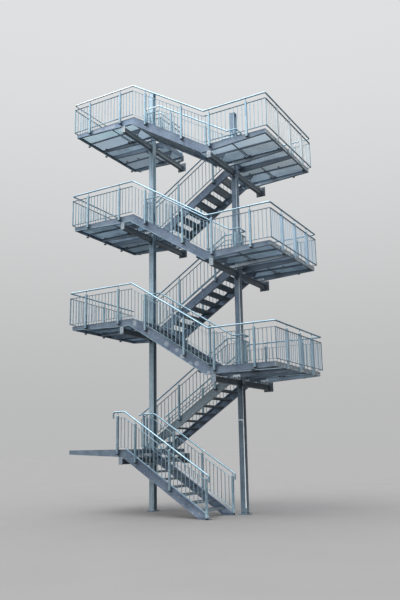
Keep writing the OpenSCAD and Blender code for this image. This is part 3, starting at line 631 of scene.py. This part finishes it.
def post_parts(x, y, z_line, out, low=-0.120, foot=True):
    """end cap, cone and fixing bolts of one post; out is the unit direction away from the steel"""
    z0 = max(z_line + low, 0.012)
    w = POST_W / 2
    if foot:
        (bright_caps if out[0] > 0 else caps).soft_box(x - w - 0.002, x + w + 0.002, y - w - 0.002, y + w + 0.002, z0 - 0.010, z0 + 0.020, 0.004)
    z1 = z_line + POST_TOP
    cones.ring((x, y, z1), (0, 0, 1), [w * 1.36, w * 1.30, 0.012, 0.0085], [0, 0.002, 0.020, 0.024], 4, math.pi / 4)
    cones.ring((x, y, z_line + HAND - 0.034), (0, 0, 1), [0.0075, 0.012, 0.019], [0, 0.006, 0.016], 12)
    ox, oy = out
    for dz in (0.030, 0.085):
        bolts.bolt((x + ox * w, y + oy * w, max(z_line + low, 0.012) + dz), (ox, oy, 0), 0.010)


def posts_x(y, line, us, out):
    for u in us:
        post_parts(u, y, line_at(line, u), out)


for i in (1, 2, 3):
    posts_x(YO, outer_line(i), (-3.919, -2.822, -1.955, -0.795, 0.051, 1.122), (0, -1))
    posts_x(YWF, outer_line(i), (-2.822, -1.955, -0.795, 0.051), (0, 1))
    posts_x(YWB, inner_line(i), (-3.180, -2.010, -0.880, 0.051) if i == 1 else (-2.822, -1.955, -0.795, 0.051), (0, -1))
    posts_x(-YO, inner_line(i), (-3.180, -2.010, -0.880, 0.040, 1.135) if i == 1 else (-2.790, -1.955, -0.795, 0.040, 1.135), (0, 1))
    for y in (-0.820, 0.0, 1.350 if i == 3 else 0.820):
        post_parts(XL, y, ZL[i], (-1, 0))
    for y in (-0.820, 0.0, 0.820):
        post_parts(XR, y, ZM[i], (1, 0))
posts_x(YO, LINE_0, (-2.800, -2.250, -1.240, -0.232), (0, -1))
posts_x(YWF, LINE_0, (-2.810, -1.950, -1.090, -0.232), (0, 1))
posts_x(YWB, [(-4, ZL[3]), (0, ZL[3])], (-2.822,), (0, -1))
for y in (0.300, 0.850, 1.380):
    post_parts(EDGE_L - 0.163, y, ZL[3], (-1, 0), low=0.0, foot=False)
caps.make("post_end_caps", M["cap"], "railing_steel")
bright_caps.make("post_end_caps_right", M["bright_cap"], "railing_steel")
cones.make("post_tops", M["rail"], "railing_steel")
bolts.make("post_bolts", M["bolt"], "railing_steel")

# ------------------------------------------------------------------ cleats and bolts at the beams
b, plates, nuts, dark_nuts = Build(), Build(), Build(), Build()
for xb, levels, end in ((0.0, ZM[1:], 1), (XCL, ZL, -1)):
    for level in levels:
        zt = level - 0.185
        # end plate of the beam with two bolts one above the other
        plates.soft_box(xb - 0.058, xb + 0.058, FRONT - 0.006, FRONT + 0.0005, zt - 0.188, zt - 0.002, 0.003)
        for dz in (-0.056, -0.134):
            dark_nuts.bolt((xb - 0.012, FRONT - 0.006, zt + dz), (0, -1, 0), 0.008)
        for y in (WELL_F - 0.018, WELL_B + 0.006, BACK - 0.018):
            # faces of the upright cleats between channels and beam
            x1 = xb + 0.1035
            if end < 0 and y > 0 and level < ZL[3]:
                x1 = xb + (0.002 if level > ZL[0] else 0.090)
            y += {ZL[0]: -0.010 if y < 1 else 0.010}.get(level, 0.0) if y > 0 else 0.0
            b.soft_box(xb - 0.1035, x1, y - 0.0015, y + 0.0135, zt - 0.0415, zt + 0.0875, 0.003)
            for dx in (-0.059, 0.059):
                if xb + dx < x1 - 0.02:
                    dark_nuts.bolt((xb + dx, y - 0.0015, zt + 0.024), (0, -1, 0), 0.016)
        for y in (-0.845, 0.850):
            b.soft_box(xb - 0.064, xb + 0.064, y - 0.043, y - 0.030, zt - 0.041, zt - 0.012, 0.003)
            for dx in (-0.040, 0.040):
                for dy in (-0.018, 0.022):
                    nuts.bolt((xb + dx, y + dy, zt - 0.032), (0, 0, 1), 0.008, 0.006)
        # wall plate bolts
        for sx in (-0.105, 0.105):
            for sz in (-0.105, 0.105):
                nuts.bolt((xb + sx, WALL - 0.015, zt - 0.085 + sz), (0, -1, 0), 0.014, 0.014)
nuts.bolt((-0.030, FRONT, ZM[1] - 0.148), (0, -1, 0), 0.018)
b.make("beam_cleats", M["cleat"], "frame_steel")
plates.make("beam_end_plates", M["end_plate"], "beam_steel")
nuts.make("beam_bolts", M["bolt"], "frame_steel")
dark_nuts.make("beam_dark_bolts", M["dark_bolt"], "frame_steel")

# splices across the right column's front flange, and thin bright strips along its corner that are a painted highlight
b = Build()
for z in (2.285, 8.898):
    b.soft_box(-0.0765, 0.0765, -0.0795, -0.074, z - 0.011, z + 0.011, 0.002)
for z0, z1, w in ((0.150, 2.285, 0.020), (2.285, 3.120, 0.009), (3.600, 6.000, 0.018), (6.450, 8.898, 0.018)):
    b.soft_box(0.0775 - w, 0.0775, -0.0785, -0.0660, z0, z1, 0.002)
b.make("column_right_splices_and_highlight_strips", M["cleat"], "column_steel")

# painted highlight: thin bright strips along the lower edge of the outer channels and stringers stand in for the
# highlight on their rounded edge
b = Build()


def highlight_strip(pts, y, w=0.007):
    for (xa, za), (xc, zc) in zip(pts, pts[1:]):
        l = math.hypot(xc - xa, zc - za)
        ux, uz = (xc - xa) / l, (zc - za) / l
        nx, nz = -uz * w, ux * w
        b.prism_y([(xa - nx, za - nz), (xc - nx, zc - nz), (xc + nx, zc + nz), (xa + nx, za + nz)], y - 0.0025, y + 0.004)


S = RISER / GOING
DROP = 0.216 * math.sqrt(1 + S * S)
for i in (1, 2):
    highlight_strip([(END_L + 0.002, ZL[i] - 0.101), (XCL, ZL[i] - 0.178), (KT_O - (DROP - 0.185) / S, ZL[i] - 0.178), (KT_O, ZL[i] - DROP + 0.008),
          (KB_O - 0.05, ZM[i] - DROP + 0.008 + 0.05 * S)], FRONT)
b.make("channel_edge_highlight_strips", M["rail"], "stringer_steel")

# anchors of the base plates
b = Build()
for x in (0.0, XCL):
    for sx in (-0.09, 0.09):
        for sy in (-0.09, 0.09):
            b.bolt((x + sx, sy, 0.020), (0, 0, 1), 0.014, 0.022)
b.make("base_anchors", M["bolt"], "column_steel")

# ------------------------------------------------------------------ floor, light and camera
BACKDROP = (0.490, 0.492, 0.494)


def stage_plain(ob):
    """seen by the camera only, so it adds no light to the undersides"""
    ob.visible_diffuse = False
    ob.visible_glossy = False
    ob.visible_transmission = False


bpy.ops.mesh.primitive_circle_add(vertices=96, radius=190, fill_type="NGON", location=(0, 0, -0.001))
floor = bpy.context.object
floor.name = "floor"
n = Nodes("floor_pale")
f = n.noise(n.coord, 0.6, 3.0)
floor.data.materials.append(n.finish(n.ramp(f, [(0.3, lit((0.312, 0.295, 0.284))), (0.7, lit((0.326, 0.309, 0.298)))]), 0.95, 0.0, spec=0.1))
stage_plain(floor)

# pale backdrop: a dome that only the camera sees
dome = bpy.data.meshes.new("backdrop")
dome_v, dome_f, seg, rows = [], [], 64, 14
for k in range(rows + 1):
    e = math.radians(-4 + 93 * k / rows)
    for m in range(seg):
        a = 2 * math.pi * m / seg
        dome_v.append((180 * math.cos(e) * math.cos(a), 180 * math.cos(e) * math.sin(a), 180 * math.sin(e)))
for k in range(rows):
    for m in range(seg):
        q = (m + 1) % seg
        dome_f.append((k * seg + q, k * seg + m, (k + 1) * seg + m, (k + 1) * seg + q))
dome_f.append(tuple(rows * seg + m for m in range(seg)))
dome.from_pydata(dome_v, [], dome_f)
dome.update()
back = bpy.data.objects.new("backdrop", dome)
bpy.context.scene.collection.objects.link(back)
n = Nodes("backdrop_pale")
em = n.t.nodes.new("ShaderNodeEmission")
z = n.axis(2)
n.put(em.inputs["Color"], n.mix(n.spread(z, 0.0, 120.0), BACKDROP, (0.740, 0.748, 0.756)))
em.inputs["Strength"].default_value = 1.0
n.put(n.out.inputs["Surface"], em.outputs[0])
n.m.cycles.emission_sampling = "NONE"
dome.materials.append(n.m)
back.visible_shadow = False
stage_plain(back)

# soft overhead light: bright above, dim towards the horizon, dim from below
world = bpy.data.worlds.new("studio")
bpy.context.scene.world = world
world.use_nodes = True
wt = world.node_tree
bg = wt.nodes["Background"]
wc = wt.nodes.new("ShaderNodeTexCoord")
sep = wt.nodes.new("ShaderNodeSeparateXYZ")
wt.links.new(wc.outputs["Generated"], sep.inputs[0])


def wmath(op, a, b=None, c=None, clamp=False):
    n = wt.nodes.new("ShaderNodeMath")
    n.operation = op
    n.use_clamp = clamp
    for k, x in enumerate((a, b, c)):
        if isinstance(x, bpy.types.NodeSocket):
            wt.links.new(x, n.inputs[k])
        elif x is not None:
            n.inputs[k].default_value = x
    return n.outputs[0]


up_z = wmath("MAXIMUM", sep.outputs[2], 0.0)
sky = wmath("MULTIPLY_ADD", wmath("MULTIPLY", up_z, up_z), 3.7, 0.19)
# a little dimmer from behind, where the wall would be
behind = wmath("MULTIPLY_ADD", sep.outputs[1], 0.8, 0.5, clamp=True)
sky = wmath("MULTIPLY", sky, wmath("MULTIPLY_ADD", behind, -0.35, 1.0))
# dimmer from the right
right_side = wmath("MULTIPLY_ADD", sep.outputs[0], 0.8, 0.4, clamp=True)
sky = wmath("MULTIPLY", sky, wmath("MULTIPLY_ADD", right_side, -0.60, 1.12))
step = wmath("MULTIPLY_ADD", sep.outputs[2], 16.0, 0.6, clamp=True)
level = wmath("MULTIPLY_ADD", wmath("SUBTRACT", sky, 0.10), step, 0.10)
tint = wt.nodes.new("ShaderNodeMix")
tint.data_type = "RGBA"
wt.links.new(step, tint.inputs[0])
tint.inputs[6].default_value = (1.0, 0.97, 0.93, 1)
tint.inputs[7].default_value = (0.90, 0.95, 1.0, 1)
wt.links.new(tint.outputs[2], bg.inputs["Color"])
wt.links.new(wmath("MULTIPLY", level, LAMP), bg.inputs["Strength"])


def sun(name, azimuth, elevation, strength, angle, colour=(1, 1, 1)):
    data = bpy.data.lights.new(name, "SUN")
    data.energy = strength
    data.angle = math.radians(angle)
    data.color = colour
    ob = bpy.data.objects.new(name, data)
    bpy.context.scene.collection.objects.link(ob)
    a, e = math.radians(azimuth), math.radians(elevation)
    to = Vector((math.sin(a) * math.cos(e), -math.cos(a) * math.cos(e), math.sin(e)))
    ob.rotation_euler = to.to_track_quat("Z", "Y").to_euler()
    return ob


sun("top_light", -25, 62, 0.6 * LAMP, 40, (1.0, 0.98, 0.95))

# weak bounce from the pale floor under the lowest half landing
data = bpy.data.lights.new("floor_bounce", "AREA")
data.shape = "RECTANGLE"
data.size, data.size_y = 4.0, 3.4
data.energy = 35.0
bounce = bpy.data.objects.new("floor_bounce", data)
bpy.context.scene.collection.objects.link(bounce)
bounce.location = (1.0, -0.2, 0.05)
bounce.rotation_euler = (math.pi, 0, 0)
bounce.visible_camera = False

# camera: position, heading left of +Y, pitch, roll and focal length fitted to the photograph
yaw, pitch, roll = 0.52557, 0.222046, -0.017881
fwd = Vector((-math.sin(yaw) * math.cos(pitch), math.cos(yaw) * math.cos(pitch), math.sin(pitch)))
right = Vector((math.cos(yaw), math.sin(yaw), 0))
up = right.cross(fwd)
r_ax = math.cos(roll) * right + math.sin(roll) * up
u_ax = -math.sin(roll) * right + math.cos(roll) * up
cam_data = bpy.data.cameras.new("camera")
cam_data.sensor_width = 36
cam_data.lens = 39.719
cam_data.clip_end = 600
cam = bpy.data.objects.new("camera", cam_data)
bpy.context.scene.collection.objects.link(cam)
cam.matrix_world = Matrix((
    (r_ax.x, u_ax.x, -fwd.x, 7.668491),
    (r_ax.y, u_ax.y, -fwd.y, -15.254249),
    (r_ax.z, u_ax.z, -fwd.z, 1.575749),
    (0, 0, 0, 1),
))
bpy.context.scene.camera = cam
bpy.context.scene.view_settings.view_transform = "Standard"
